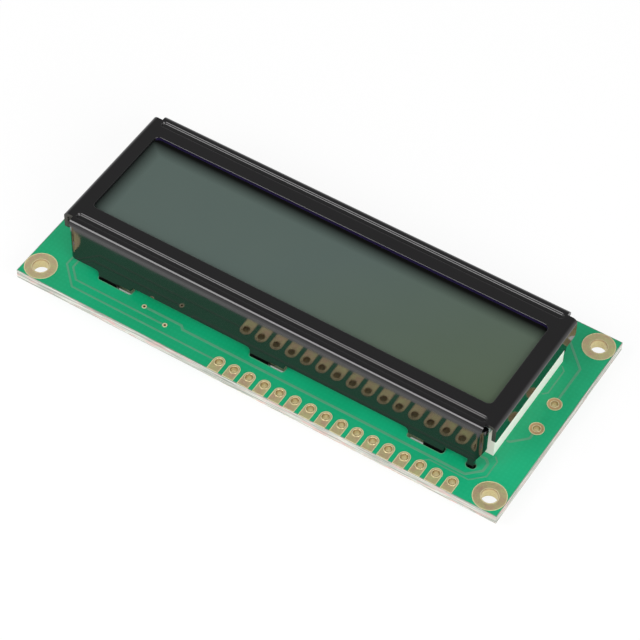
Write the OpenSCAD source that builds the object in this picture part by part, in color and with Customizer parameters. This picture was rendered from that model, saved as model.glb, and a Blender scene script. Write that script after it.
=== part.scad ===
// Character LCD module: a long display in a folded sheet-steel bezel, carried by a printed circuit board.
// X runs along the board, Y from the header edge to the back, Z up. The display faces up.
// The origin is under the board's centre, at the level of the bezel's twisted tab tips.

/* [Circuit board] */
// Length of the board
board_l = 80; // [78:1:96]
// Width of the board
board_w = 36; // [36:1:44]
// Thickness of the laminate
board_t = 1.6; // [1:0.1:2.4]
// Thickness of the copper on either face
copper_t = 0.04; // [0.03:0.01:0.1]
// Diameter of the four corner holes
corner_hole_d = 2.5; // [2:0.1:3.2]
// Diameter of the plated land round each corner hole
corner_land_d = 4.9; // [4:0.1:5]
// Distance of each corner hole's centre from both edges
corner_hole_inset = 2.5; // [2.5:0.1:3.2]

/* [Header pads] */
// Number of header pads
header_count = 16; // [14:1:16]
// Distance from one header pad to the next
header_pitch = 2.54; // [2:0.01:2.54]
// Diameter of the header holes
header_hole_d = 1.1; // [0.8:0.05:1.2]
// Width of each header land
header_land_w = 1.85; // [1.5:0.05:1.9]
// Distance from the board's right edge to the last header hole
header_right = 8; // [7:0.5:12]
// Distance from the board's front edge to the row of header holes
header_inset = 1.8; // [1.2:0.1:2.2]

/* [Backlight pads] */
// Diameter of the holes of the two backlight pads
backlight_hole_d = 1.1; // [0.8:0.05:1.3]
// Diameter of the lands of the two backlight pads
backlight_land_d = 2.2; // [1.8:0.1:2.6]
// Distance between the two backlight pads
backlight_pad_gap = 5.08; // [3:0.01:7]
// Distance from the board's right edge to the backlight pads
backlight_pad_right = 2.75; // [1.5:0.05:3]
// Offset of the backlight pads from the board's centre, towards the back
backlight_pad_y = 0.5; // [-3:0.1:3]

/* [Bezel] */
// Length of the bezel over its side walls
bezel_l = 71.2; // [68:0.1:73]
// Width of the bezel over its long walls
bezel_w = 24.8; // [24:0.1:29]
// Offset of the bezel from the board's centre, towards the back
bezel_y = -0.3; // [-1:0.1:1]
// Thickness of the steel sheet
sheet_t = 0.6; // [0.4:0.05:0.7]
// Outer radius of the bends along the top edges
bend_r = 0.8; // [0.75:0.05:1]
// Width of the top face between the window and each side wall
window_end_border = 2.7; // [2.6:0.1:8]
// Width of the top face between the window and each long wall
window_side_border = 4.25; // [4.1:0.05:6]
// Corner radius of the window
window_r = 0.8; // [0.3:0.1:2]
// Radius of the window's rolled upper edge
window_edge_r = 0.12; // [0.05:0.01:0.2]
// Length of each corner relief, along the board
relief_l = 1.6; // [1.4:0.1:2.4]
// Width of each corner relief, across the board
relief_w = 1.1; // [1.1:0.1:1.8]
// Depth of the side walls below the top face
side_wall_h = 3.35; // [2:0.05:5]
// Height of the long walls' lower edge above the board
wall_gap = 1.5; // [1:0.1:2.5]

/* [Bezel beads] */
// Width of the bead pressed along each long side
bead_w = 1.2; // [0.8:0.1:1.6]
// Distance from the long wall's face to the bead
bead_inset = 1.1; // [1:0.1:1.4]
// Width of the sloping wall on either side of the bead's flat floor
bead_wall = 0.35; // [0.25:0.05:0.4]
// Distance from the corner reliefs to the ends of each bead
bead_end_gap = 0.2; // [0.1:0.1:6]

/* [Bezel returns and leg] */
// Distance from the side wall's face to the return at each end of a long wall
return_inset = 1.2; // [1:0.1:1.6]
// Outer radius of the bend between a long wall and its return
return_bend_r = 1.15; // [0.8:0.05:1.2]
// Depth of each return, across the board
return_w = 1.3; // [1.25:0.05:1.4]
// Gap between the returns and the underside of the top face
return_top_gap = 0.45; // [0.2:0.05:1]
// Width of the locating legs
leg_w = 1.0; // [0.7:0.1:1.2]
// Length of the locating legs below the board
leg_drop = 0.6; // [0.3:0.1:1.2]

/* [Bezel tabs] */
// Distance from the bezel's ends to the middle of the outer tabs' feet
tab_end_inset = 9.6; // [8.5:0.1:14]
// Shift of the tab rows from the bezel's centre, towards the right
tab_shift = -0.4; // [-1:0.1:1]
// Width of the foot that each tab hangs from
foot_w = 5.6; // [4:0.1:6]
// Height of the feet above the board
foot_gap = 0.55; // [0.2:0.05:0.9]
// Fillet between a foot and the long wall's lower edge
foot_fillet_r = 0.6; // [0.2:0.1:0.8]
// Width of the tabs
tab_w = 3.1; // [2:0.1:4]
// Length of the tabs below the board
tab_drop = 1.6; // [1.4:0.1:2.2]
// Angle that the tab ends are twisted by
tab_twist = 40; // [20:5:60]

/* [Display cell] */
// Width of each contact ledge, where the front glass stands out over the rear glass
ledge_w = 2.15; // [2:0.05:2.5]
// Thickness of each glass plate
glass_t = 1.1; // [0.55:0.05:1.1]
// Gap between the glass plates
cell_gap = 0.1; // [0.05:0.01:0.15]
// Width of the seal round the cell
seal_w = 0.9; // [0.5:0.1:1.2]
// Width of the filling port in the seal
fill_port_w = 1.6; // [1:0.1:3]
// Thickness of each polariser
polariser_t = 0.3; // [0.15:0.01:0.35]
// Margin of the front polariser round the window
front_polariser_margin = 0.8; // [0.5:0.1:1]
// Margin of the rear glass round the rear polariser
rear_polariser_margin = 0.4; // [0.2:0.1:0.8]

/* [Elastomer strips and contacts] */
// Width of the strips
strip_w = 1.7; // [1.2:0.1:1.8]
// Number of contact fingers under each strip
finger_count = 48; // [40:1:50]
// Width of a contact finger as a share of its pitch
finger_share = 0.5; // [0.4:0.05:0.6]
// Length of a contact finger across the strip
finger_l = 1.5; // [1.2:0.1:1.6]

/* [Backlight] */
// Height of the backlight case
case_h = 5.85; // [3:0.05:7.2]
// Thickness of the case's walls
case_wall = 1.2; // [0.9:0.1:1.5]
// Thickness of the case's floor
case_floor = 1.0; // [0.6:0.1:1.4]
// Length of the ears at the case's back corners
ear_l = 1.5; // [1:0.1:1.6]
// Width that the ears stand out by
ear_w = 1.6; // [0.8:0.1:1.7]
// Thickness of the diffuser plate
diffuser_t = 1.0; // [0.5:0.1:1.2]
// Width of the ledge that the diffuser rests on
diffuser_ledge = 0.5; // [0.3:0.1:0.7]
// Thickness of the board that carries the LEDs
led_board_t = 0.8; // [0.4:0.1:1]
// Number of LEDs in each row
led_count = 14; // [8:1:16]
// Distance between the two rows of LEDs
led_row_gap = 7.5; // [4:0.1:9]
// Diameter of the two supply pins
pin_d = 0.6; // [0.5:0.05:0.8]
// Distance between the two supply pins
pin_gap = 7.6; // [5:0.1:10]
// Distance from the case's left end to the supply pins
pin_inset = 2.4; // [2:0.1:4]
// Length of the supply pins below the board
pin_drop = 1.0; // [0.6:0.1:1.2]

/* [Parts under the board] */
// Distance between the two chips
chip_gap = 28; // [20:1:32]
// Diameter of the epoxy drop over each chip
drop_d = 13; // [10:0.5:15]
// Height of the epoxy drops
drop_h = 1.3; // [0.9:0.05:1.35]
// Side of each silicon chip
die_w = 4; // [3:0.5:5]
// Thickness of each silicon chip
die_t = 0.4; // [0.3:0.05:0.5]
// Number of chip resistors
resistor_count = 6; // [3:1:8]
// Distance from one chip resistor to the next
resistor_pitch = 3.2; // [2:0.1:4]
// Length of a chip resistor or capacitor over its end caps
chip_part_l = 2.0; // [1.6:0.1:3.2]
// Width of a chip resistor or capacitor
chip_part_w = 1.25; // [0.8:0.05:1.6]
// Height of a chip resistor
resistor_h = 0.5; // [0.4:0.05:0.6]
// Height of a chip capacitor
capacitor_h = 0.9; // [0.5:0.05:1.2]
// Length of each end cap
end_cap_l = 0.4; // [0.2:0.05:0.5]

/* [Clearances] */
// Clearance between a tab and the outer side of its slot
slot_front_gap = 0.25; // [0.2:0.05:0.3]
// Clearance between a tab and the inner side of its slot
slot_back_gap = 0.45; // [0.2:0.05:0.5]
// Clearance between a foot's ends and the ends of its slot
slot_end_gap = 0.1; // [0.1:0.05:0.3]
// Clearance round a locating leg in its hole
leg_gap = 0.25; // [0.2:0.05:0.3]
// Clearance between the bezel's side walls and the ends of the glass and the backlight case
cell_end_gap = 0.5; // [0.3:0.1:1]
// Clearance between the bezel's returns and the long edges of the front glass
cell_side_gap = 0.15; // [0.1:0.05:0.3]
// Clearance between the parts that sit in the backlight case
case_gap = 0.1; // [0.05:0.05:0.3]
// Clearance round a supply pin
pin_hole_gap = 0.1; // [0.05:0.05:0.2]
// Gap between the elastomer strips and the backlight case
strip_gap = 0.15; // [0.1:0.05:0.3]
// Gap between the ends of the elastomer strips and the ears of the backlight case
strip_end_gap = 0.5; // [0.3:0.1:1]
// Distance from the front glass's long edges to the elastomer strips
strip_inset = 0.05; // [0.05:0.05:0.1]

/* [Hidden] */
$fn = 48;

// Overlap that makes two shapes of one piece merge
eps = 0.01;

// Levels from the tab tips upwards
z_board = tab_drop;
z_top = z_board + board_t;
z_rear_polariser = z_top + case_h;
z_rear_glass = z_rear_polariser + polariser_t;
z_cell = z_rear_glass + glass_t;
z_front_glass = z_cell + cell_gap;
z_front_polariser = z_front_glass + glass_t;
z_plate = z_front_polariser + polariser_t;
z_face = z_plate + sheet_t;

// Spans of the bezel
long_l = bezel_l - 2 * relief_l;
side_w = bezel_w - 2 * relief_w;
return_l = bezel_l - 2 * return_inset;
flat_l = return_l - 2 * return_bend_r;
z_return = z_plate - return_top_gap;
z_wall = z_top + wall_gap;
window_l = bezel_l - 2 * window_end_border;
window_w = bezel_w - 2 * window_side_border;
bead_l = long_l - 2 * bead_end_gap;
tab_pitch = bezel_l / 2 - tab_end_inset;
side_corner_r = 0.5;
return_cut_h = 2.3;

// Spans of the display cell and the backlight, which fill the inside of the bezel
glass_l = bezel_l - 2 * (sheet_t + cell_end_gap);
front_glass_w = bezel_w - 2 * (return_w + cell_side_gap);
rear_glass_w = front_glass_w - 2 * ledge_w;
case_l = glass_l;
strip_y = front_glass_w / 2 - strip_inset - strip_w / 2;
case_w = 2 * (strip_y - strip_w / 2 - strip_gap);
strip_l = case_l - 2 * (ear_l + strip_end_gap);
seal_inset = 0.3;

// The bead bears on the front glass, so it is as deep as the polariser is thick
bead_depth = polariser_t;

// Tabs hang at the same side of their foot, but for the last one
tab_x = [for (i = [-1:1]) tab_shift + i * tab_pitch];
tab_side = [-1, -1, 1];
slot_l = foot_w + 2 * slot_end_gap;
slot_w = sheet_t + slot_front_gap + slot_back_gap;
slot_r = 0.4;
leg_x = flat_l / 2 - leg_w / 2;

header_x = board_l / 2 - header_right - (header_count - 1) * header_pitch;
header_y = header_inset - board_w / 2;
backlight_x = board_l / 2 - backlight_pad_right;
via_hole_d = 0.4;
via_land_d = 0.75;
via_at = [[header_x - 14.55, 4.4 - board_w / 2], [header_x - 10.15, 3.15 - board_w / 2]];

pin_x = pin_inset - case_l / 2;
finger_pitch = strip_l / (finger_count + 1);
diffuser_l = case_l - 2 * (case_wall - diffuser_ledge + case_gap);
diffuser_w = case_w - 2 * (case_wall - diffuser_ledge + case_gap);
led_end_inset = 2;
led_pitch = (case_l - 2 * (case_wall + led_end_inset)) / led_count;
resistor_y = 8.5 - board_w / 2;
capacitor_at = [[chip_gap / 2 + 8, 8.5], [chip_gap / 2 + 12, 8.5]];

// Rectangle with true round corners
module rounded_rect(l, w, r) {
    square([l - 2 * r, w], center = true);
    square([l, w - 2 * r], center = true);
    for (x = [-1, 1], y = [-1, 1])
        translate([x * (l / 2 - r), y * (w / 2 - r)])
            circle(r);
}

// Slot outline with round ends
module slot_outline(l, w) {
    square([l - w, w], center = true);
    for (x = [-1, 1])
        translate([x * (l - w) / 2, 0])
            circle(d = w);
}

// Block centred in X and Y that stands on its base
module block(l, w, h) {
    linear_extrude(h)
        square([l, w], center = true);
}

module at_corner_holes() {
    for (x = [-1, 1], y = [-1, 1])
        translate([x * (board_l / 2 - corner_hole_inset), y * (board_w / 2 - corner_hole_inset), 0])
            children();
}

module at_header_holes() {
    for (i = [0:header_count - 1])
        translate([header_x + i * header_pitch, header_y, 0])
            children();
}

module at_backlight_holes() {
    for (y = [-1, 1])
        translate([backlight_x, backlight_pad_y + y * backlight_pad_gap / 2, 0])
            children();
}

module at_supply_pins() {
    for (y = [-1, 1])
        translate([pin_x, bezel_y + y * pin_gap / 2, 0])
            children();
}

module at_vias() {
    for (p = via_at)
        translate([p[0], p[1], 0])
            children();
}

// The children once at the front long side and once, turned by half a turn, at the back one
module both_long_sides() {
    for (a = [0, 180])
        translate([0, bezel_y, 0])
            rotate([0, 0, a])
                children();
}

// Copper on both faces of the board, from a flat outline
module both_faces() {
    translate([0, 0, z_top])
        linear_extrude(copper_t)
            children();
    translate([0, 0, z_board - copper_t])
        linear_extrude(copper_t)
            children();
}

// ---- Circuit board ----

module board_outline() {
    difference() {
        square([board_l, board_w], center = true);
        at_corner_holes()
            circle(d = corner_hole_d);
        at_header_holes()
            circle(d = header_hole_d);
        at_backlight_holes()
            circle(d = backlight_hole_d);
        at_vias()
            circle(d = via_hole_d);
        at_supply_pins()
            circle(d = pin_d + 2 * pin_hole_gap);
        both_long_sides() {
            for (x = tab_x)
                translate([x, (sheet_t + slot_back_gap - slot_front_gap - bezel_w) / 2])
                    rounded_rect(slot_l, slot_w, slot_r);
            translate([leg_x, (sheet_t - bezel_w) / 2])
                slot_outline(leg_w + 2 * leg_gap, sheet_t + 2 * leg_gap);
        }
    }
}

module circuit_board() {
    color("seagreen")
        translate([0, 0, z_board])
            linear_extrude(board_t)
                board_outline();
}

module corner_lands() {
    color("tan")
        both_faces()
            intersection() {
                square([board_l, board_w], center = true);
                at_corner_holes()
                    difference() {
                        circle(d = corner_land_d);
                        circle(d = corner_hole_d);
                    }
            }
}

// Arch that reaches from behind a header hole to the front edge
module header_arch() {
    circle(d = header_land_w);
    translate([0, -header_inset / 2])
        square([header_land_w, header_inset], center = true);
}

module header_lands() {
    color("tan")
        both_faces()
            at_header_holes()
                difference() {
                    header_arch();
                    circle(d = header_hole_d);
                }
}

module backlight_lands() {
    color("tan") {
        both_faces()
            at_backlight_holes()
                difference() {
                    circle(d = backlight_land_d);
                    circle(d = backlight_hole_d);
                }
        translate([0, 0, z_board - copper_t])
            linear_extrude(copper_t)
                at_supply_pins()
                    difference() {
                        circle(d = backlight_land_d);
                        circle(d = pin_d + 2 * pin_hole_gap);
                    }
    }
}

module vias() {
    color("tan")
        both_faces()
            at_vias()
                difference() {
                    circle(d = via_land_d);
                    circle(d = via_hole_d);
                }
}

// Trace of one width along a list of points, with round corners and ends
module trace(points, w) {
    for (i = [1:len(points) - 1]) {
        a = points[i - 1];
        b = points[i];
        translate([a[0], a[1]])
            rotate(atan2(b[1] - a[1], b[0] - a[0]))
                translate([0, -w / 2])
                    square([norm(b - a), w]);
    }
    for (p = points)
        translate([p[0], p[1]])
            circle(d = w);
}

// Traces on the top face, in lanes that are named by their place, with the corners between them cut off
module top_traces() {
    supply_w = 0.36;
    signal_w = 0.3;
    wide_w = 0.4;
    thin_w = 0.2;
    corner = 0.6;
    turn = 1.8;
    left_x = 5.4 - board_l / 2;
    inner_left_x = left_x + 1.1;
    right_x = board_l / 2 - 5.4;
    outer_right_x = board_l / 2 - 4.5;
    case_x = case_l / 2 + 0.4;
    case_front_y = bezel_y - case_w / 2;
    finger_end_x = strip_l / 2 - finger_pitch;
    finger_y = bezel_y - strip_y;
    turn_y = 4.9 - board_w / 2;
    front_y = 3.85 - board_w / 2;
    pad_y = 3.3 - board_w / 2;
    pad_x = header_x + 13 * header_pitch;
    jog_x = via_at[0][0] + 7;
    trace([[left_x, case_front_y - 0.4], [left_x, turn_y], [left_x + turn_y - header_y, header_y],
           [header_x, header_y]], signal_w);
    trace([[inner_left_x, finger_y], [inner_left_x, turn_y],
           [inner_left_x + turn_y - via_at[1][1], via_at[1][1]], via_at[1]], signal_w);
    trace([via_at[0], [jog_x - corner, via_at[0][1]], [jog_x, front_y], [right_x - turn, front_y],
           [right_x, front_y + turn], [right_x, finger_y - corner], [right_x - corner, finger_y],
           [finger_end_x, finger_y]], wide_w);
    trace([[pad_x, header_y], [pad_x, header_y + 1], [pad_x + 0.5, pad_y], [outer_right_x - turn, pad_y],
           [outer_right_x, pad_y + turn], [outer_right_x, case_front_y - corner],
           [outer_right_x - corner, case_front_y]], thin_w);
    translate([backlight_x, backlight_pad_y + backlight_pad_gap / 2])
        trace([[0, 0], [0, 7.4], [-4.4, 11.8]], supply_w);
    translate([backlight_x, backlight_pad_y - backlight_pad_gap / 2])
        trace([[0, 0], [0, -2], [-2.05, -4.05], [case_x - backlight_x, -4.05]], supply_w);
    translate([case_x, bezel_y])
        trace([[0, 9.8], [corner, 9.2], [corner, 4.6], [0, 4]], thin_w);
}

// Traces on the underside: from the header and the resistors to the chips, and from chip to chip
module bottom_traces() {
    signal_w = 0.2;
    bus_count = 9;
    bus_pitch = 0.7;
    fan_y = 6.8 - board_w / 2;
    fan_share = 0.35;
    fan_shift = 6;
    chip_x = chip_gap / 2;
    chip_edge_y = -4.5;
    last_x = (resistor_count - 1) / 2 * resistor_pitch;
    next_x = last_x - resistor_pitch;
    for (i = [0:header_count - 1]) {
        x = header_x + i * header_pitch;
        if (min([for (t = tab_x) abs(x - t)]) > slot_l / 2 + signal_w)
            if (x > last_x)
                trace([[x, header_y], [x, fan_y],
                       [chip_x + (x - chip_x - fan_shift) * fan_share, chip_edge_y]], signal_w);
    }
    for (m = [-1, 1]) {
        trace([[m * last_x, resistor_y], [m * last_x, resistor_y + 3],
               [m * (last_x + 2.5), resistor_y + 5.5]], signal_w);
        trace([[m * next_x, resistor_y], [m * next_x, resistor_y + 4.5],
               [m * (chip_x - 5), resistor_y + 7]], signal_w);
    }
    for (i = [0:bus_count - 1]) {
        y = (i - (bus_count - 1) / 2) * bus_pitch;
        trace([[-chip_x, y], [chip_x, y]], signal_w);
    }
    for (p = capacitor_at)
        trace([[p[0], p[1]], [p[0], p[1] - 4.5], [chip_x, p[1] - 8]], 2 * signal_w);
}

module signal_traces() {
    color("olivedrab") {
        translate([0, 0, z_top])
            linear_extrude(copper_t / 2)
                difference() {
                    top_traces();
                    at_header_holes()
                        header_arch();
                    at_backlight_holes()
                        circle(d = backlight_land_d);
                    at_vias()
                        circle(d = via_land_d);
                    translate([0, bezel_y])
                        for (y = [-1, 1], i = [1:finger_count])
                            translate([i * finger_pitch - strip_l / 2, y * strip_y])
                                square([finger_pitch * finger_share, finger_l], center = true);
                }
        translate([0, 0, z_board - copper_t / 2])
            linear_extrude(copper_t / 2)
                difference() {
                    bottom_traces();
                    at_header_holes()
                        header_arch();
                    for (x = [-1, 1])
                        translate([x * chip_gap / 2, 0])
                            circle(d = drop_d);
                    for (i = [0:resistor_count - 1])
                        translate([(i - (resistor_count - 1) / 2) * resistor_pitch, resistor_y])
                            square([chip_part_w, chip_part_l], center = true);
                    for (p = capacitor_at)
                        translate([p[0], p[1]])
                            square([chip_part_w, chip_part_l], center = true);
                }
    }
}

module contact_fingers() {
    color("gold")
        translate([0, bezel_y, z_top])
            for (y = [-1, 1], i = [1:finger_count])
                translate([i * finger_pitch - strip_l / 2, y * strip_y, 0])
                    block(finger_pitch * finger_share, finger_l, copper_t);
}

// ---- Bezel ----

module plate_outline() {
    difference() {
        union() {
            square([bezel_l - 2 * bend_r, side_w], center = true);
            square([long_l, bezel_w - 2 * bend_r], center = true);
        }
        rounded_rect(window_l, window_w, window_r);
    }
}

// Half of the bead's cross-section: a flat floor and a sloping wall, below a rim of the given height
module bead_half_profile(rim) {
    steps = 6;
    floor_w = bead_w / 2 - bead_wall;
    wall = [for (i = [0:steps])
                [floor_w + bead_wall * i / steps, -bead_depth / 2 * (1 + cos(180 * i / steps))]];
    polygon(concat([[0, -bead_depth]], wall, [[bead_w / 2, rim], [0, rim]]));
}

// Solid that fills one bead, with round ends
module bead(rim) {
    straight = bead_l - bead_w;
    for (m = [0, 1])
        mirror([0, m, 0])
            translate([-straight / 2, 0, 0])
                rotate([90, 0, 90])
                    linear_extrude(straight)
                        bead_half_profile(rim);
    for (m = [0, 1])
        mirror([m, 0, 0])
            translate([straight / 2, 0, 0])
                rotate([0, 0, -90])
                    rotate_extrude(angle = 180)
                        bead_half_profile(rim);
}

module at_beads() {
    for (y = [-1, 1])
        translate([0, y * (bezel_w / 2 - bead_inset - bead_w / 2), 0])
            children();
}

// Cross-section of what the window's rolled edge leaves away
module window_edge_profile() {
    difference() {
        translate([-eps, -window_edge_r])
            square(window_edge_r + eps);
        translate([window_edge_r, -window_edge_r])
            circle(window_edge_r);
    }
}

// What the rolled edge leaves away round the whole window
module window_edge() {
    for (a = [0, 90, 180, 270]) {
        along = (a % 180 == 0 ? window_l : window_w) - 2 * window_r;
        out = (a % 180 == 0 ? window_w : window_l) / 2;
        rotate([0, 0, a]) {
            translate([-along / 2, out, 0])
                rotate([90, 0, 90])
                    linear_extrude(along)
                        window_edge_profile();
            translate([along / 2, out - window_r, 0])
                rotate_extrude(angle = 90)
                    translate([window_r, 0])
                        window_edge_profile();
        }
    }
}

// Top face with its window and the two pressed beads
module bezel_plate() {
    difference() {
        union() {
            translate([0, 0, z_plate])
                linear_extrude(sheet_t)
                    plate_outline();
            translate([0, 0, z_plate])
                at_beads()
                    bead(sheet_t / 4);
        }
        translate([0, 0, z_face]) {
            window_edge();
            at_beads()
                bead(sheet_t);
        }
    }
}

// Quarter round of sheet between the top face and a wall, in a plane across the bend
module bend_profile() {
    intersection() {
        difference() {
            circle(bend_r);
            circle(bend_r - sheet_t);
        }
        translate([-bend_r, 0])
            square(bend_r);
    }
}

// Bend and upper strip of the front long wall, down to the top of the returns
module long_bend() {
    translate([-long_l / 2, -bezel_w / 2, 0])
        rotate([90, 0, 90])
            linear_extrude(long_l) {
                translate([bend_r, z_face - bend_r])
                    bend_profile();
                translate([0, z_return])
                    square([sheet_t, z_face - bend_r - z_return]);
            }
}

// Outline of the front long wall below the top of the returns, with its feet, tabs and leg
module long_wall_outline() {
    translate([-flat_l / 2, z_wall])
        square([flat_l, z_return - z_wall]);
    for (i = [0:2])
        translate([tab_x[i], 0]) {
            translate([-foot_w / 2, z_top + foot_gap])
                square([foot_w, wall_gap - foot_gap + eps]);
            for (m = [0, 1])
                mirror([m, 0])
                    translate([foot_w / 2, z_wall - foot_fillet_r])
                        difference() {
                            square([foot_fillet_r, foot_fillet_r + eps]);
                            translate([foot_fillet_r, 0])
                                circle(foot_fillet_r);
                        }
            translate([tab_side[i] * (foot_w - tab_w) / 2 - tab_w / 2, z_board])
                square([tab_w, z_top + foot_gap - z_board + eps]);
        }
    translate([leg_x - leg_w / 2, z_board - leg_drop])
        square([leg_w, z_wall - z_board + leg_drop + eps]);
}

// Twisted end of a tab, from the board's underside down to the tip
module tab_end(turn) {
    translate([0, 0, z_board + eps])
        mirror([0, 0, 1])
            linear_extrude(tab_drop + eps, twist = turn, slices = 6, segments = 4)
                square([tab_w, sheet_t], center = true);
}

// Bend and return at the right end of the front long wall
module wall_return() {
    translate([flat_l / 2, return_bend_r - bezel_w / 2, z_wall]) {
        rotate([0, 0, -90])
            rotate_extrude(angle = 90)
                translate([return_bend_r - sheet_t, 0])
                    square([sheet_t, z_return - z_wall]);
        translate([return_bend_r - sheet_t, -eps, 0])
            cube([sheet_t, return_w - return_bend_r + eps, z_return - z_wall]);
    }
}

// Slanted cut that frees the leg from the return beside it
module return_cut() {
    translate([0, return_w - bezel_w / 2 + eps, 0])
        rotate([90, 0, 0])
            linear_extrude(return_w + 2 * eps)
                polygon([[flat_l / 2, z_wall], [return_l / 2 + eps, z_wall + return_cut_h],
                         [return_l / 2 + eps, z_wall - eps], [flat_l / 2, z_wall - eps]]);
}

module long_wall() {
    long_bend();
    translate([0, sheet_t - bezel_w / 2, 0])
        rotate([90, 0, 0])
            linear_extrude(sheet_t)
                long_wall_outline();
    difference() {
        wall_return();
        return_cut();
    }
    mirror([1, 0, 0])
        wall_return();
}

module long_tab_ends() {
    for (i = [0:2])
        translate([tab_x[i] + tab_side[i] * (foot_w - tab_w) / 2, (sheet_t - bezel_w) / 2, 0])
            tab_end(tab_side[i] * tab_twist);
}

// Bend and wall at the right end
module side_wall() {
    translate([bezel_l / 2, side_w / 2, 0])
        rotate([90, 0, 0])
            linear_extrude(side_w)
                translate([-bend_r, z_face - bend_r])
                    mirror([1, 0])
                        bend_profile();
    translate([bezel_l / 2 - sheet_t, 0, 0])
        rotate([90, 0, 90])
            linear_extrude(sheet_t)
                translate([0, z_face - side_wall_h]) {
                    translate([-side_w / 2, side_corner_r])
                        square([side_w, side_wall_h - bend_r - side_corner_r]);
                    translate([side_corner_r - side_w / 2, 0])
                        square([side_w - 2 * side_corner_r, side_corner_r + eps]);
                    for (y = [-1, 1])
                        translate([y * (side_w / 2 - side_corner_r), side_corner_r])
                            circle(side_corner_r);
                }
}

module bezel() {
    color("dimgray") {
        translate([0, bezel_y, 0]) {
            bezel_plate();
            for (m = [0, 1])
                mirror([m, 0, 0])
                    side_wall();
        }
        both_long_sides() {
            long_wall();
            long_tab_ends();
        }
    }
}

// ---- Display cell ----

module front_polariser() {
    margins = 2 * front_polariser_margin;
    color("slategray")
        translate([0, bezel_y, z_front_polariser])
            block(window_l + margins, window_w + margins, polariser_t);
}

module front_glass() {
    color("lightcyan")
        translate([0, bezel_y, z_front_glass])
            block(glass_l, front_glass_w, glass_t);
}

module cell_seal() {
    seal_l = glass_l - 2 * seal_inset;
    seal_across = rear_glass_w - 2 * seal_inset;
    color("beige")
        translate([0, bezel_y, z_cell])
            linear_extrude(cell_gap)
                difference() {
                    square([seal_l, seal_across], center = true);
                    square([seal_l - 2 * seal_w, seal_across - 2 * seal_w], center = true);
                    translate([glass_l / 2 - seal_w, 0])
                        square([2 * seal_w + eps, fill_port_w], center = true);
                }
}

// Drop of adhesive over the filling port, on the right-hand edges of the two glass plates
module fill_plug() {
    plug_overlap = 0.8;
    plug_w = fill_port_w + 2 * plug_overlap;
    plug_h = 1.4;
    plug_out = 0.3;
    color("ivory")
        translate([glass_l / 2, bezel_y, z_cell + cell_gap / 2])
            intersection() {
                scale(plug_out)
                    rotate([90, 0, 0])
                        cylinder(r = plug_h / plug_out / 2, h = plug_w / plug_out, center = true);
                translate([0, -plug_w / 2, -plug_h / 2])
                    cube([plug_out, plug_w, plug_h]);
            }
}

module rear_glass() {
    color("lightcyan")
        translate([0, bezel_y, z_rear_glass])
            block(glass_l, rear_glass_w, glass_t);
}

module rear_polariser() {
    margins = 2 * rear_polariser_margin;
    color("silver")
        translate([0, bezel_y, z_rear_polariser])
            block(glass_l - margins, rear_glass_w - margins, polariser_t);
}

// Strip of layered silicone that joins the glass to the board's contact fingers
module elastomer_strip() {
    color("gray")
        translate([0, 0, z_top + copper_t])
            block(strip_l, strip_w, z_front_glass - z_top - copper_t);
}

module front_strip() {
    translate([0, bezel_y - strip_y, 0])
        elastomer_strip();
}

module back_strip() {
    translate([0, bezel_y + strip_y, 0])
        elastomer_strip();
}

// ---- Backlight ----

module case_outline() {
    x = case_l / 2;
    y = case_w / 2;
    polygon([[-x, -y], [x, -y], [x, y + ear_w], [x - ear_l, y + ear_w], [x - ear_l, y],
             [ear_l - x, y], [ear_l - x, y + ear_w], [-x, y + ear_w]]);
}

module backlight_case() {
    color("ghostwhite")
        translate([0, bezel_y, z_top])
            difference() {
                linear_extrude(case_h)
                    case_outline();
                translate([0, 0, case_floor])
                    block(case_l - 2 * case_wall, case_w - 2 * case_wall, case_h);
                translate([0, 0, case_h - diffuser_t])
                    block(diffuser_l + 2 * case_gap, diffuser_w + 2 * case_gap, diffuser_t + eps);
                translate([0, -bezel_y, -eps])
                    at_supply_pins()
                        cylinder(d = pin_d + 2 * pin_hole_gap, h = case_floor + 2 * eps);
            }
}

module diffuser() {
    color("white")
        translate([0, bezel_y, z_top + case_h - diffuser_t])
            block(diffuser_l, diffuser_w, diffuser_t);
}

module led_board() {
    margins = 2 * (case_wall + case_gap);
    color("khaki")
        difference() {
            translate([0, bezel_y, z_top + case_floor])
                block(case_l - margins, case_w - margins, led_board_t);
            translate([0, 0, z_top + case_floor - eps])
                at_supply_pins()
                    cylinder(d = pin_d, h = led_board_t + 2 * eps);
        }
}

module leds() {
    led_h = 0.7;
    led_base = [2, 1.25];
    lens_d = [1.1, 0.8];
    color("palegoldenrod")
        translate([0, bezel_y, z_top + case_floor + led_board_t])
            for (y = [-1, 1], i = [0:led_count - 1])
                translate([(i - (led_count - 1) / 2) * led_pitch, y * led_row_gap / 2, 0]) {
                    block(led_base[0], led_base[1], led_h / 2);
                    translate([0, 0, led_h / 2 - eps])
                        cylinder(d1 = lens_d[0], d2 = lens_d[1], h = led_h / 2);
                }
}

module supply_pins() {
    color("silver")
        translate([0, 0, z_board - pin_drop])
            at_supply_pins()
                cylinder(d = pin_d, h = pin_drop + board_t + case_floor + led_board_t);
}

// Solder cone round each supply pin, on the underside of the board
module pin_solder() {
    bare_end = 0.3;
    solder_h = pin_drop - bare_end;
    tip_d = pin_d + 0.3;
    foot_d = backlight_land_d - 0.4;
    color("silver")
        translate([0, 0, z_board - copper_t - solder_h])
            at_supply_pins()
                difference() {
                    cylinder(d1 = tip_d, d2 = foot_d, h = solder_h);
                    translate([0, 0, -eps])
                        cylinder(d = pin_d, h = solder_h + 2 * eps);
                }
}

// ---- Parts under the board ----

module at_chips() {
    for (x = [-1, 1])
        translate([x * chip_gap / 2, 0, z_board])
            children();
}

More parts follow.
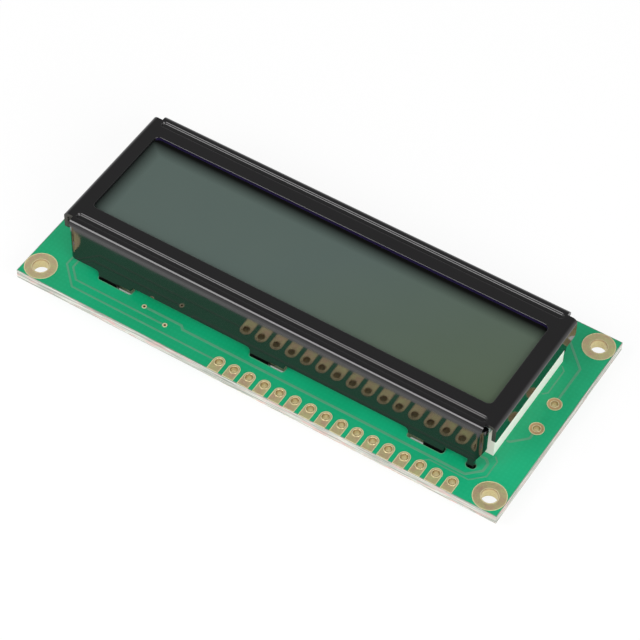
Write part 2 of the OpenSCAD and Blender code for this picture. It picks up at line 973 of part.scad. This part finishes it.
// Low round drop of epoxy that covers each chip
module epoxy_drops() {
    ball_r = (pow(drop_d / 2, 2) + pow(drop_h, 2)) / (2 * drop_h);
    color("#222222")
        at_chips()
            difference() {
                intersection() {
                    translate([0, 0, ball_r - drop_h])
                        sphere(ball_r, $fn = 240);
                    translate([0, 0, -drop_h - eps])
                        cylinder(d = drop_d + 1, h = drop_h + eps);
                }
                translate([0, 0, -die_t])
                    block(die_w, die_w, die_t + eps);
            }
}

module silicon_dies() {
    color("slategray")
        at_chips()
            translate([0, 0, -die_t])
                block(die_w, die_w, die_t);
}

module at_resistors() {
    for (i = [0:resistor_count - 1])
        translate([(i - (resistor_count - 1) / 2) * resistor_pitch, resistor_y, z_board])
            children();
}

module at_capacitors() {
    for (p = capacitor_at)
        translate([p[0], p[1], z_board])
            children();
}

module chip_part_body(h) {
    translate([0, 0, -h])
        block(chip_part_w, chip_part_l - 2 * end_cap_l, h);
}

module chip_part_caps(h) {
    for (y = [-1, 1])
        translate([0, y * (chip_part_l - end_cap_l) / 2, -h])
            block(chip_part_w, end_cap_l, h);
}

module resistor_bodies() {
    color("#333333")
        at_resistors()
            chip_part_body(resistor_h);
}

module capacitor_bodies() {
    color("peru")
        at_capacitors()
            chip_part_body(capacitor_h);
}

module end_caps() {
    color("silver") {
        at_resistors()
            chip_part_caps(resistor_h);
        at_capacitors()
            chip_part_caps(capacitor_h);
    }
}

circuit_board();
corner_lands();
header_lands();
backlight_lands();
signal_traces();
vias();
contact_fingers();
bezel();
front_polariser();
front_glass();
cell_seal();
fill_plug();
rear_glass();
rear_polariser();
front_strip();
back_strip();
backlight_case();
diffuser();
led_board();
leds();
supply_pins();
pin_solder();
epoxy_drops();
silicon_dies();
resistor_bodies();
capacitor_bodies();
end_caps();
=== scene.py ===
"""Looks of the character LCD module: materials, details on the board, floor, lights and camera.

Everything is in metres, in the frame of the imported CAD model.
"""

import math

import bmesh
import bpy
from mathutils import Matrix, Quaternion, Vector


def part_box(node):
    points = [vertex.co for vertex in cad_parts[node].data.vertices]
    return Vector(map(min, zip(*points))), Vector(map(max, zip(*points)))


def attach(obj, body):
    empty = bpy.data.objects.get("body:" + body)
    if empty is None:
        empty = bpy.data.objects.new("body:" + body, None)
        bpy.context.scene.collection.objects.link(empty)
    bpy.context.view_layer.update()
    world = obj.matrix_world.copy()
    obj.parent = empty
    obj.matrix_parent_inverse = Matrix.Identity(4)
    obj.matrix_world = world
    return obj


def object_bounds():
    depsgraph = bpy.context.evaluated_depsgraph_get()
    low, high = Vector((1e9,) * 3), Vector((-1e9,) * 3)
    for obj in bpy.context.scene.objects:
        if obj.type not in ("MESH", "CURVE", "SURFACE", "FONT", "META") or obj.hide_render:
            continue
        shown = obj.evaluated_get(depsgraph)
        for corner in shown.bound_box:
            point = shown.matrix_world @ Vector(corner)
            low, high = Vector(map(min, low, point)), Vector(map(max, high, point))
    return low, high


MM = 0.001

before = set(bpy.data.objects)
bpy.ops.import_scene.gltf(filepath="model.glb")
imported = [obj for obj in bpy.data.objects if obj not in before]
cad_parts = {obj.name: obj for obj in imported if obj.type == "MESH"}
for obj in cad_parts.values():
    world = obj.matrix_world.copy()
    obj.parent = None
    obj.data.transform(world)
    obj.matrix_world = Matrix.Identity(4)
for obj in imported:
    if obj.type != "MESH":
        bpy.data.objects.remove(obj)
cad_low, cad_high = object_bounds()
board_low, board_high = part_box("circuit_board")
bezel_low, bezel_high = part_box("bezel")
polariser_low, polariser_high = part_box("front_polariser")

# The board, and the details that are added to it.
BOARD_TOP = board_high.z
BOARD_UNDERSIDE = board_low.z
COPPER = 0.04 * MM
BARREL_GAP = 0.002 * MM
BARREL_WALL = 0.04 * MM
BARREL_SMOOTH = math.radians(40)
MASK_CLEARANCE = 0.12 * MM
EDGE_CLEARANCE = 0.08 * MM
SLOT_INSET = 0.5 * MM
RIM_HEIGHT = 0.01 * MM
LAND_RIM = 0.1 * MM
COLLAR_WIDTH = 0.2 * MM
COLLAR_HEIGHT = 0.045 * MM
COLLAR_STEPS = 8
COLLAR_SMOOTH = math.radians(60)

# The bezel's long walls, the window's edges, and how far the bezel's shadow reaches into the window.
BEZEL_HALF_WIDTH = 12.4 * MM
WALL_BEND = 0.5 * MM
POLARISER_MARGIN = 0.8 * MM
WINDOW_BACK = polariser_high.y - POLARISER_MARGIN
WINDOW_LEFT = polariser_low.x + POLARISER_MARGIN
BACK_SHADE = 2.9 * MM
BACK_SHADE_FULL = 0.5 * MM
LEFT_SHADE = 2.5 * MM
LEFT_SHADE_FULL = 0.4 * MM

# How far a normal points along an axis, from 0 to 1, when its surface faces that axis.
SIDEWAYS = 0.1
BARELY = 0.3
MOSTLY = 0.5
SQUARELY = 0.9

# Tolerances for the outlines of the CAD mesh.
SAME_PLACE = 0.001 * MM
ROUNDNESS = 0.02
MITRE_LIMIT = 0.5

# The stage.
WHITE = (1.0, 1.0, 1.0, 1.0)
FLOOR_HALF_SIDE = 0.9
FLOOR_GAP = 0.02 * MM
FLOOR_GREY = (0.85, 0.85, 0.85, 1.0)
FLOOR_GLOW = 1.03
FLOOR_GLOW_SHARE = 0.85
FLOOR_SHADE = 0.35
SHADE_INSIDE = 1.5 * MM
SHADE_OUTSIDE = 0.5 * MM
HORIZON_TOP = 0.15
CEILING_START = 0.65
CEILING_LIGHT = 0.33
CAMERA_SENSOR = 36
CAMERA_LENS = 150.93
CAMERA_NEAR = 0.01
CAMERA_PLACE = Vector((126.846, -209.948, 299.284)) * MM
CAMERA_TARGET = Vector((1.7415, -1.9779, 3.2)) * MM
CAMERA_ROLL = math.radians(1.5998)


# ---- Node helpers ----


def rgb(red, green, blue):
    """A colour as it shows on a screen, 0 to 255, as the linear colour that a shader takes."""
    return tuple(
        v / 12.92 if v <= 0.04045 else ((v + 0.055) / 1.055) ** 2.4
        for v in (red / 255, green / 255, blue / 255)
    ) + (1.0,)


class Nodes:
    """A node tree, with short ways to add nodes and to join them."""

    def __init__(self, tree):
        self.tree = tree

    def add(self, kind, inputs=(), **settings):
        made = self.tree.nodes.new(kind)
        for key, value in settings.items():
            setattr(made, key, value)
        for key, value in dict(inputs).items():
            self.join(made.inputs[key], value)
        return made

    def join(self, socket, value):
        if isinstance(value, bpy.types.NodeSocket):
            self.tree.links.new(value, socket)
        else:
            socket.default_value = value

    def split(self, vector):
        return self.add("ShaderNodeSeparateXYZ", {0: vector}).outputs[:3]

    def math(self, operation, *values):
        return self.add("ShaderNodeMath", enumerate(values), operation=operation).outputs[0]

    def ramp(self, value, low, high, out_low=0.0, out_high=1.0):
        """From out_low to out_high while a value goes from low to high, and level outside them."""
        inputs = {0: value, 1: low, 2: high, 3: out_low, 4: out_high}
        return self.add("ShaderNodeMapRange", inputs).outputs[0]

    def shade_surface(self, output, share, first, second):
        """Mix two shaders by a share, and join them to the tree's output."""
        inputs = {0: share, 1: first.outputs[0], 2: second.outputs[0]}
        mixed = self.add("ShaderNodeMixShader", inputs)
        self.join(self.tree.nodes[output].inputs["Surface"], mixed.outputs[0])


class Pattern(Nodes):
    """One node material, with short ways to feed its shader."""

    def __init__(self, name, **sockets):
        self.material = bpy.data.materials.new(name)
        self.material.use_nodes = True
        super().__init__(self.material.node_tree)
        self.shader = self.tree.nodes["Principled BSDF"]
        self.place = self.add("ShaderNodeTexCoord").outputs["Object"]
        for key, value in sockets.items():
            self.feed(key.replace("_", " "), value)

    def feed(self, socket, value):
        self.join(self.shader.inputs[socket], value)

    def axes(self):
        return self.split(self.place)

    def facing(self, axis):
        """How far the surface faces along an axis, either way, from 0 to 1."""
        normal = self.add("ShaderNodeTexCoord").outputs["Normal"]
        return self.math("ABSOLUTE", self.split(normal)["XYZ".index(axis)])

    def above(self, value, limit):
        return self.math("GREATER_THAN", value, limit)

    def below(self, value, limit):
        return self.math("LESS_THAN", value, limit)

    def within(self, value, reach):
        """1 where a value is nearer to 0 than this, and 0 elsewhere."""
        return self.below(self.math("ABSOLUTE", value), reach)

    def both(self, first, second):
        return self.math("MULTIPLY", first, second)

    def blend(self, share, first, second):
        """A number between two others, by a share from 0 to 1."""
        return self.ramp(share, 0.0, 1.0, first, second)

    def mix(self, share, first, second):
        """A colour between two others, by a share from 0 to 1."""
        made = self.add("ShaderNodeMix", {0: share, 6: first, 7: second}, data_type="RGBA")
        return made.outputs[2]

    def stretched(self, x, y, z):
        return self.add("ShaderNodeMapping", {"Vector": self.place, "Scale": (x, y, z)}).outputs[0]

    def noise(self, size, detail=2.0, place=None):
        """Cloudy noise, 0 to 1, with blotches about this size."""
        inputs = {"Vector": place or self.place, "Scale": 1 / size, "Detail": detail}
        return self.add("ShaderNodeTexNoise", inputs).outputs[0]

    def clouds(self, size, low=0.0, high=1.0, detail=3.0):
        """Noise with its middle drawn out, from low to high, with blotches about this size."""
        return self.ramp(self.noise(size, detail), 0.3, 0.7, low, high)

    def spots(self, size):
        """Distance from the nearest of many scattered points, which lie this far apart."""
        inputs = {"Vector": self.place, "Scale": 1 / size}
        return self.add("ShaderNodeTexVoronoi", inputs).outputs[0]

    def waves(self, period, direction):
        """Even bands across a direction, 0 to 1, with this period."""
        inputs = {"Vector": self.place, "Scale": math.pi / 10 / period}
        return self.add("ShaderNodeTexWave", inputs, bands_direction=direction).outputs[1]

    def tint(self, size, first, second, detail=2.0):
        """Feed a base colour that drifts between two colours, in blotches about this size."""
        self.feed("Base Color", self.mix(self.noise(size, detail), first, second))

    def gloss(self, size, low, high):
        """Feed a roughness that drifts between two values, in blotches about this size."""
        self.feed("Roughness", self.blend(self.noise(size), low, high))

    def bump(self, height, depth):
        inputs = {"Height": height, "Distance": depth}
        self.feed("Normal", self.add("ShaderNodeBump", inputs).outputs[0])


# ---- Materials ----


def laminate_colour(m):
    """Cut edge of woven glass laminate: thin pale layers with pinkish and grey streaks.

    The uppermost layers are greyer, and the edges of the openings inside the board are darker and
    greener: the raw laminate's tint, with a painted shade of the slots in it.
    """
    layers = m.noise(1.0, 3.0, m.stretched(180, 180, 5200))
    blotches = m.noise(1.0, 2.0, m.stretched(420, 420, 2400))
    pale = m.mix(m.ramp(layers, 0.38, 0.62), rgb(138, 144, 134), rgb(212, 213, 204))
    pinkish = m.ramp(blotches, 0.52, 0.66, 0.0, 0.75)
    streaked = m.mix(pinkish, pale, rgb(210, 172, 166))
    x, y, z = m.axes()
    rim = m.ramp(z, BOARD_TOP - 0.14 * MM, BOARD_TOP - 0.05 * MM, 0.0, 0.7)
    outside = m.mix(rim, streaked, rgb(96, 120, 104))
    inner_x = m.within(x, board_high.x - SLOT_INSET)
    inner_y = m.within(y, board_high.y - SLOT_INSET)
    # Painted shade of the slots: their walls are darker than the outer edge, on top of the raw
    # laminate's greener tint.
    return m.mix(m.both(inner_x, inner_y), outside, rgb(112, 126, 92))


def solder_mask_colour(m):
    """Glossy green mask over woven laminate, a little uneven in thickness."""
    green = m.mix(m.clouds(14 * MM), rgb(0, 156, 103), rgb(10, 170, 118))
    weave = m.both(m.waves(0.7 * MM, "X"), m.waves(0.7 * MM, "Y"))
    return m.mix(m.blend(weave, 0.0, 0.12), green, rgb(44, 192, 142))


def board_material():
    """Mask on both faces up to a small distance from the board's edge, and laminate elsewhere."""
    m = Pattern("board", IOR=1.5)
    x, y = m.axes()[:2]
    in_length = m.within(x, board_high.x - EDGE_CLEARANCE)
    in_width = m.within(y, board_high.y - EDGE_CLEARANCE)
    masked = m.both(m.above(m.facing("Z"), MOSTLY), m.both(in_length, in_width))
    m.feed("Base Color", m.mix(masked, laminate_colour(m), solder_mask_colour(m)))
    m.feed("Roughness", m.blend(masked, 0.6, 0.4))
    m.bump(m.math("ADD", m.noise(0.5 * MM), m.noise(3 * MM)), 0.004 * MM)
    return m.material


def trace_material():
    """Copper under the mask: paler and greyer green than the laminate under the same mask."""
    m = Pattern("masked_copper", IOR=1.5, Roughness=0.4)
    m.tint(2 * MM, rgb(70, 150, 112), rgb(92, 162, 126))
    m.bump(m.noise(0.4 * MM), 0.004 * MM)
    return m.material


def land_material():
    """Tinned copper, a little tarnished: pale yellow, pinkish blotches and fine bright specks."""
    m = Pattern("plated_copper", Metallic=0.8)
    tarnish = m.mix(m.clouds(1.2 * MM), rgb(225, 225, 162), rgb(226, 194, 160))
    specks = m.ramp(m.noise(0.25 * MM), 0.5, 0.75, 0.0, 0.5)
    m.feed("Base Color", m.mix(specks, tarnish, rgb(244, 236, 186)))
    m.gloss(0.4 * MM, 0.36, 0.5)
    m.bump(m.noise(0.12 * MM, 3.0), 0.0015 * MM)
    return m.material


def backlight_land_material():
    """Tinned copper of the round lands, redder than on the others."""
    m = Pattern("plated_copper_red", Metallic=0.8)
    m.tint(0.6 * MM, rgb(228, 196, 146), rgb(224, 174, 130), detail=3.0)
    m.gloss(0.4 * MM, 0.3, 0.45)
    m.bump(m.noise(0.3 * MM, 3.0), 0.01 * MM)
    return m.material


def rim_highlight_material():
    # Painted highlight: the thin raised edges are paler and less metallic than the lands, as if they
    # catch the light.
    m = Pattern("tin_rim_highlight", Metallic=0.2)
    m.tint(0.3 * MM, rgb(236, 230, 182), rgb(222, 204, 162))
    m.gloss(0.3 * MM, 0.3, 0.45)
    return m.material


def collar_material():
    """Tin that drew up round a hole: creamy on its crest, reddish brown at its foot."""
    m = Pattern("tin_collar", Metallic=0.5)
    foot = BOARD_TOP + COPPER
    crest = m.ramp(m.axes()[2], foot, foot + 0.7 * COLLAR_HEIGHT)
    creamy = m.mix(m.noise(0.25 * MM), rgb(240, 228, 180), rgb(220, 210, 156))
    reddish = m.mix(m.noise(0.3 * MM), rgb(196, 138, 106), rgb(214, 178, 130))
    m.feed("Base Color", m.mix(crest, reddish, creamy))
    m.gloss(0.2 * MM, 0.2, 0.4)
    m.bump(m.noise(0.25 * MM, 3.0), 0.03 * MM)
    return m.material


def via_material():
    m = Pattern("via", Metallic=0.3, Roughness=0.4)
    m.tint(0.3 * MM, rgb(236, 228, 190), rgb(222, 210, 168))
    return m.material


def barrel_material():
    """Plating in the holes: yellowish, and reddish brown towards the top."""
    m = Pattern("barrel", Metallic=0.7)
    near_top = m.ramp(m.axes()[2], BOARD_TOP - 0.35 * MM, BOARD_TOP)
    plain = m.mix(m.noise(0.3 * MM), rgb(222, 212, 156), rgb(204, 184, 136))
    m.feed("Base Color", m.mix(m.math("MULTIPLY", near_top, 0.6), plain, rgb(150, 96, 66)))
    m.gloss(0.2 * MM, 0.2, 0.45)
    m.bump(m.noise(0.15 * MM), 0.01 * MM)
    return m.material


def gold_material():
    m = Pattern("gold", Metallic=1.0)
    m.tint(0.5 * MM, rgb(240, 205, 130), rgb(228, 188, 110))
    m.gloss(0.2 * MM, 0.25, 0.4)
    return m.material


def black_paint_material():
    """Glossy black paint, dull on the sheet's cut edges, with a painted violet sheen on the window's
    long ones.
    """
    m = Pattern("black_paint", IOR=1.6, Specular_Tint=(0.94, 0.92, 0.93, 1.0))
    x, y = m.axes()[:2]
    middle = (bezel_low.y + bezel_high.y) / 2
    off_middle = m.math("SUBTRACT", y, middle)
    window_y = m.within(off_middle, polariser_high.y - middle)
    in_window = m.both(m.within(x, polariser_high.x), window_y)
    window_edge = m.both(in_window, m.below(m.facing("Z"), BARELY))
    between_walls = m.within(off_middle, BEZEL_HALF_WIDTH - WALL_BEND)
    inner_edge = m.both(between_walls, m.above(m.facing("Y"), SQUARELY))
    cut = m.math("MAXIMUM", window_edge, inner_edge)
    black = m.mix(m.noise(6 * MM, 3.0), rgb(8, 8, 9), rgb(13, 13, 14))
    violet_sheen_edge = m.both(window_edge, m.above(m.facing("Y"), MOSTLY))
    # Painted violet sheen on the window's long cut edges.
    m.feed("Base Color", m.mix(violet_sheen_edge, black, rgb(22, 12, 50)))
    glossy = m.clouds(1.5 * MM, 0.06, 0.1, detail=4.0)
    m.feed("Roughness", m.math("ADD", glossy, m.blend(cut, 0.0, 0.35)))
    m.bump(m.noise(2.5 * MM), 0.0006 * MM)
    return m.material


def polariser_material():
    """The display through its front film: grey-green, greener to the right, with a painted shadow of
    the bezel by the back and left edges.
    """
    m = Pattern("polariser", IOR=1.45)
    x, y = m.axes()[:2]
    to_right = m.ramp(m.math("SUBTRACT", x, y), 0.0, 40 * MM)
    tint = m.mix(to_right, rgb(79, 94, 89), rgb(77, 92, 71))
    cloudy = m.mix(m.clouds(9 * MM, 0.0, 0.12), tint, rgb(90, 104, 94))
    plain = m.mix(m.clouds(0.06 * MM, 0.0, 0.08, detail=1.0), cloudy, rgb(104, 118, 106))
    # Painted shadow of the bezel: the colour darkens towards the window's back and left edges, and the
    # reflection weakens there too.
    back = m.ramp(y, WINDOW_BACK - BACK_SHADE, WINDOW_BACK - BACK_SHADE_FULL)
    left = m.ramp(x, WINDOW_LEFT + LEFT_SHADE, WINDOW_LEFT + LEFT_SHADE_FULL, 0.0, 0.75)
    shade = m.math("POWER", m.math("MAXIMUM", back, left), 1.2)
    m.feed("Base Color", m.mix(shade, plain, rgb(10, 11, 9)))
    m.feed("Specular IOR Level", m.blend(shade, 0.5, 0.1))
    m.feed("Roughness", m.clouds(5 * MM, 0.33, 0.35, detail=2.0))
    return m.material


def glass_material():
    m = Pattern("glass", IOR=1.5, Roughness=0.05)
    m.tint(6 * MM, rgb(176, 196, 190), rgb(188, 206, 198))
    return m.material


def reflector_material():
    m = Pattern("reflector", Metallic=0.6, Roughness=0.4)
    m.tint(0.4 * MM, rgb(196, 200, 198), rgb(214, 216, 212))
    return m.material


def seal_material():
    m = Pattern("seal", Roughness=0.5)
    m.tint(1 * MM, rgb(206, 196, 160), rgb(190, 178, 140))
    return m.material


def elastomer_material():
    """Layered silicone: fine dark conducting layers between pinkish ones."""
    m = Pattern("elastomer", Roughness=0.6)
    layers = m.ramp(m.waves(0.2 * MM, "X"), 0.4, 0.6)
    m.feed("Base Color", m.mix(layers, rgb(60, 56, 58), rgb(214, 180, 176)))
    return m.material


def white_plastic_material():
    m = Pattern("white_plastic", IOR=1.5)
    m.tint(4 * MM, rgb(244, 243, 237), rgb(236, 235, 226), detail=3.0)
    m.gloss(0.6 * MM, 0.35, 0.5)
    m.bump(m.noise(0.2 * MM), 0.004 * MM)
    return m.material


def diffuser_material():
    m = Pattern("diffuser", Roughness=0.5)
    m.tint(3 * MM, rgb(238, 238, 232), rgb(228, 230, 224))
    return m.material


def led_laminate_material():
    m = Pattern("led_laminate", Roughness=0.5)
    m.tint(2 * MM, rgb(226, 226, 216), rgb(212, 214, 200))
    return m.material


def led_material():
    m = Pattern("led", Roughness=0.25)
    m.tint(0.5 * MM, rgb(226, 214, 90), rgb(214, 206, 120))
    return m.material


def tin_material():
    m = Pattern("tin", Metallic=1.0)
    m.tint(0.6 * MM, rgb(206, 206, 204), rgb(184, 186, 188))
    m.feed("Roughness", m.clouds(0.25 * MM, 0.2, 0.45))
    m.bump(m.noise(0.2 * MM), 0.01 * MM)
    return m.material


def epoxy_material():
    m = Pattern("epoxy", IOR=1.5)
    m.tint(2 * MM, rgb(16, 16, 17), rgb(26, 26, 28))
    m.feed("Roughness", m.clouds(1 * MM, 0.2, 0.4))
    m.bump(m.noise(0.9 * MM, 3.0), 0.03 * MM)
    return m.material


def silicon_material():
    m = Pattern("silicon", Metallic=0.7, Roughness=0.2)
    m.feed("Base Color", m.mix(m.spots(0.3 * MM), rgb(90, 92, 110), rgb(120, 120, 132)))
    return m.material


def resistor_material():
    """Chip resistor: black glaze on the faces of a white ceramic block."""
    m = Pattern("resistor", Roughness=0.35)
    on_face = m.above(m.facing("Z"), MOSTLY)
    glaze = m.mix(m.noise(0.4 * MM), rgb(24, 24, 26), rgb(36, 36, 40))
    m.feed("Base Color", m.mix(on_face, rgb(226, 224, 216), glaze))
    return m.material


def capacitor_material():
    m = Pattern("capacitor", Roughness=0.45)
    m.tint(0.5 * MM, rgb(170, 132, 92), rgb(150, 112, 76))
    return m.material


def bare_laminate_material():
    """Laminate where the mask is cleared round the slots, still green from the mask's blurred edge."""
    m = Pattern("bare_laminate", Roughness=0.5)
    m.tint(0.5 * MM, rgb(58, 146, 104), rgb(92, 164, 124))
    m.bump(m.noise(0.1 * MM), 0.003 * MM)
    return m.material


MATERIALS = {
    board_material: ["circuit_board"],
    land_material: ["corner_lands", "header_lands"],
    backlight_land_material: ["backlight_lands"],
    via_material: ["vias"],
    trace_material: ["signal_traces"],
    gold_material: ["contact_fingers"],
    black_paint_material: ["bezel"],
    polariser_material: ["front_polariser"],
    glass_material: ["front_glass", "rear_glass"],
    seal_material: ["cell_seal", "fill_plug"],
    reflector_material: ["rear_polariser"],
    elastomer_material: ["front_strip", "back_strip"],
    white_plastic_material: ["backlight_case"],
    diffuser_material: ["diffuser"],
    led_laminate_material: ["led_board"],
    led_material: ["leds"],
    tin_material: ["supply_pins", "pin_solder", "end_caps"],
    epoxy_material: ["epoxy_drops"],
    silicon_material: ["silicon_dies"],
    resistor_material: ["resistor_bodies"],
    capacitor_material: ["capacitor_bodies"],
}


def paint_nodes():
    for make, names in MATERIALS.items():
        material = make()
        for name in names:
            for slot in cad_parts[name].material_slots:
                slot.material = material


# ---- Details on the board ----


def top_outlines(name):
    """The outlines of a node's flat upward faces on the board's top or above it, as lists of corners.

    They come from the CAD mesh. An outline runs anticlockwise round a face and clockwise round
    an opening in it.
    """
    mesh = bmesh.new()
    mesh.from_mesh(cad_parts[name].data)
    bmesh.ops.remove_doubles(mesh, verts=mesh.verts, dist=SAME_PLACE)
    follows = {}
    for face in mesh.faces:
        face.normal_update()
        if face.normal.z < SQUARELY or face.calc_center_median().z < BOARD_TOP - SAME_PLACE:
            continue
        for loop in face.loops:
            other = loop.link_loop_radial_next.face
            if abs(other.normal.z) < SIDEWAYS and other is not face:
                follows[loop.vert.index] = loop.link_loop_next.vert.index
    points = [v.co.to_2d() for v in mesh.verts]
    mesh.free()
    outlines = []
    while follows:
        start, here = follows.popitem()
        outline = [points[start]]
        while here in follows:
            outline.append(points[here])
            here = follows.pop(here)
        outlines.append(outline)
    return outlines


def runs_round_opening(outline):
    return sum(a.cross(b) for a, b in zip(outline, outline[1:] + outline[:1])) < 0


def centre_of(outline):
    return sum(outline, Vector((0.0, 0.0))) / len(outline)


def is_round(outline):
    centre = centre_of(outline)
    reach = [(p - centre).length for p in outline]
    return max(reach) - min(reach) < ROUNDNESS * max(reach)


def offset(outline, distance):
    """The outline moved away from its centre by a distance, with sharp corners kept."""
    centre = centre_of(outline)
    moved = []
    for i, here in enumerate(outline):
        before, after = outline[i - 1], outline[(i + 1) % len(outline)]
        first = (here - before).normalized().orthogonal()
        second = (after - here).normalized().orthogonal()
        middle = (first + second).normalized()
        if middle.dot(here - centre) < 0:
            middle = -middle
        moved.append(here + middle * distance / max(MITRE_LIMIT, abs(middle.dot(first))))
    return moved


def add_loft(mesh, section):
    """A closed ring of faces through outlines with as many corners, each given with its level."""
    rings = [[mesh.verts.new((p.x, p.y, level)) for p in outline] for outline, level in section]
    count = len(rings[0])
    for i in range(count):
        j = (i + 1) % count
        for k, first in enumerate(rings):
            second = rings[(k + 1) % len(rings)]
            mesh.faces.new((first[i], first[j], second[j], second[i]))


def add_band(mesh, outer, inner, low, high):
    """A closed band between two outlines with as many corners, from one level up to another."""
    add_loft(mesh, ((outer, low), (outer, high), (inner, high), (inner, low)))


def add_collar(mesh, outline, low):
    """A half-round collar that starts at an outline and reaches outwards."""
    section = []
    for i in range(COLLAR_STEPS + 1):
        turn = math.pi * i / COLLAR_STEPS
        across = COLLAR_WIDTH * (1 - math.cos(turn)) / 2
        section.append((offset(outline, across), low + COLLAR_HEIGHT * math.sin(turn)))
    add_loft(mesh, section)


def add_object(name, data):
    made = bpy.data.objects.new(name, data)
    bpy.context.scene.collection.objects.link(made)
    return made


def add_mesh(name, mesh, material):
    data = bpy.data.meshes.new(name)
    mesh.to_mesh(data)
    mesh.free()
    data.materials.append(material)
    return add_object(name, data)


def make_piece(name, mesh, material, smooth_angle=None):
    bmesh.ops.recalc_face_normals(mesh, faces=mesh.faces)
    piece = add_mesh(name, mesh, material)
    if smooth_angle:
        piece.data.shade_smooth()
        piece.data.set_sharp_from_angle(angle=smooth_angle)
    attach(piece, "root")


def add_board_details():
    """Plated barrels in the round holes, and bare laminate where the mask is cleared round slots."""
    barrels, rims = bmesh.new(), bmesh.new()
    for outline in filter(runs_round_opening, top_outlines("circuit_board")):
        if is_round(outline):
            outer = offset(outline, -BARREL_GAP)
            inner = offset(outline, -BARREL_WALL)
            add_band(barrels, outer, inner, BOARD_UNDERSIDE - COPPER, BOARD_TOP + COPPER)
        else:
            outer = offset(outline, MASK_CLEARANCE)
            add_band(rims, outer, outline, BOARD_TOP, BOARD_TOP + RIM_HEIGHT)
    make_piece("hole_barrels", barrels, barrel_material(), BARREL_SMOOTH)
    make_piece("slot_rims", rims, bare_laminate_material())


def add_tin():
    """Raised edges of tin on the lands of the top face, painted paler as a highlight, and collars
    round the header holes.
    """
    rims, collars = bmesh.new(), bmesh.new()
    low = BOARD_TOP + COPPER
    for name in ("corner_lands", "header_lands", "backlight_lands"):
        for outline in top_outlines(name):
            if not runs_round_opening(outline):
                add_band(rims, outline, offset(outline, -LAND_RIM), low, low + RIM_HEIGHT)
            elif name == "header_lands":
                add_collar(collars, outline, low)
            else:
                add_band(rims, offset(outline, LAND_RIM), outline, low, low + RIM_HEIGHT)
    make_piece("land_rims", rims, rim_highlight_material())
    make_piece("tin_collars", collars, collar_material(), COLLAR_SMOOTH)


# ---- Stage ----


def shows_background(nodes):
    """1 for the rays that show the background: from the camera, and off metal or through glass."""
    rays = nodes.add("ShaderNodeLightPath").outputs
    seen = nodes.math("MAXIMUM", rays["Is Camera Ray"], rays["Is Glossy Ray"])
    return nodes.math("MAXIMUM", seen, rays["Is Transmission Ray"])


def beside_module(nodes):
    """1 on the floor beside the module, falling off to FLOOR_SHADE under the bezel: a painted shade,
    which lets the floor's own shadow show through the dimmed glow.
    """
    place = nodes.add("ShaderNodeTexCoord").outputs["Object"]
    sides = []
    for across, half in zip(nodes.split(place), (bezel_high.x, BEZEL_HALF_WIDTH)):
        away = nodes.math("ABSOLUTE", across)
        sides.append(nodes.ramp(away, half - SHADE_INSIDE, half + SHADE_OUTSIDE, FLOOR_SHADE))
    return nodes.math("MAXIMUM", *sides)


def floor_material():
    """White that glows in the rays that show it, less under the bezel as a painted shade, and is plain
    matt white in the others.
    """
    material = bpy.data.materials.new("floor")
    material.use_nodes = True
    nodes = Nodes(material.node_tree)
    nodes.tree.nodes.remove(nodes.tree.nodes["Principled BSDF"])
    matt = nodes.add("ShaderNodeBsdfDiffuse", {"Color": FLOOR_GREY})
    glow = nodes.add("ShaderNodeEmission", {"Strength": FLOOR_GLOW})
    glowing = nodes.math("MULTIPLY", shows_background(nodes), FLOOR_GLOW_SHARE)
    share = nodes.math("MULTIPLY", glowing, beside_module(nodes))
    nodes.shade_surface("Material Output", share, matt, glow)
    return material


def add_floor():
    mesh = bmesh.new()
    bmesh.ops.create_grid(mesh, x_segments=1, y_segments=1, size=FLOOR_HALF_SIDE)
    floor = add_mesh("floor", mesh, floor_material())
    floor.location.z = cad_low.z - FLOOR_GAP


def set_world():
    """White to the camera; for the other rays a pale horizon under a dimmer ceiling."""
    world = bpy.data.worlds.new("studio")
    bpy.context.scene.world = world
    world.use_nodes = True
    nodes = Nodes(world.node_tree)
    height = nodes.split(nodes.add("ShaderNodeTexCoord").outputs["Generated"])[2]
    room = nodes.tree.nodes["Background"]
    room.inputs["Color"].default_value = WHITE
    light = nodes.ramp(height, HORIZON_TOP, CEILING_START, 1.0, CEILING_LIGHT)
    nodes.join(room.inputs["Strength"], light)
    white = nodes.add("ShaderNodeBackground", {"Color": WHITE})
    camera_ray = nodes.add("ShaderNodeLightPath").outputs["Is Camera Ray"]
    nodes.shade_surface("World Output", camera_ray, room, white)


def add_lamp(name, direction, distance, side, radiance):
    """A square soft box that faces the object. Its power follows from its side and its radiance."""
    lamp = bpy.data.lights.new(name, "AREA")
    lamp.size = side
    lamp.energy = radiance * math.pi * side * side
    box = add_object(name, lamp)
    towards = Vector(direction).normalized()
    box.location = towards * distance
    box.rotation_euler = towards.to_track_quat("Z", "Y").to_euler()
    box.visible_camera = False


def add_camera():
    data = bpy.data.cameras.new("camera")
    data.sensor_width = CAMERA_SENSOR
    data.lens = CAMERA_LENS
    data.clip_start = CAMERA_NEAR
    camera = add_object("camera", data)
    camera.location = CAMERA_PLACE
    camera.rotation_mode = "QUATERNION"
    level = (CAMERA_TARGET - CAMERA_PLACE).to_track_quat("-Z", "Y")
    camera.rotation_quaternion = level @ Quaternion((0, 0, 1), CAMERA_ROLL)
    bpy.context.scene.camera = camera


add_camera()
paint_nodes()
add_board_details()
add_tin()
add_floor()
set_world()
add_lamp("key", direction=(-0.327, -0.631, 0.703), distance=0.7, side=0.34, radiance=6.2)
add_lamp("fill", direction=(0.75, -0.45, 0.5), distance=0.7, side=0.5, radiance=4.2)
bpy.context.scene.view_settings.view_transform = "Standard"
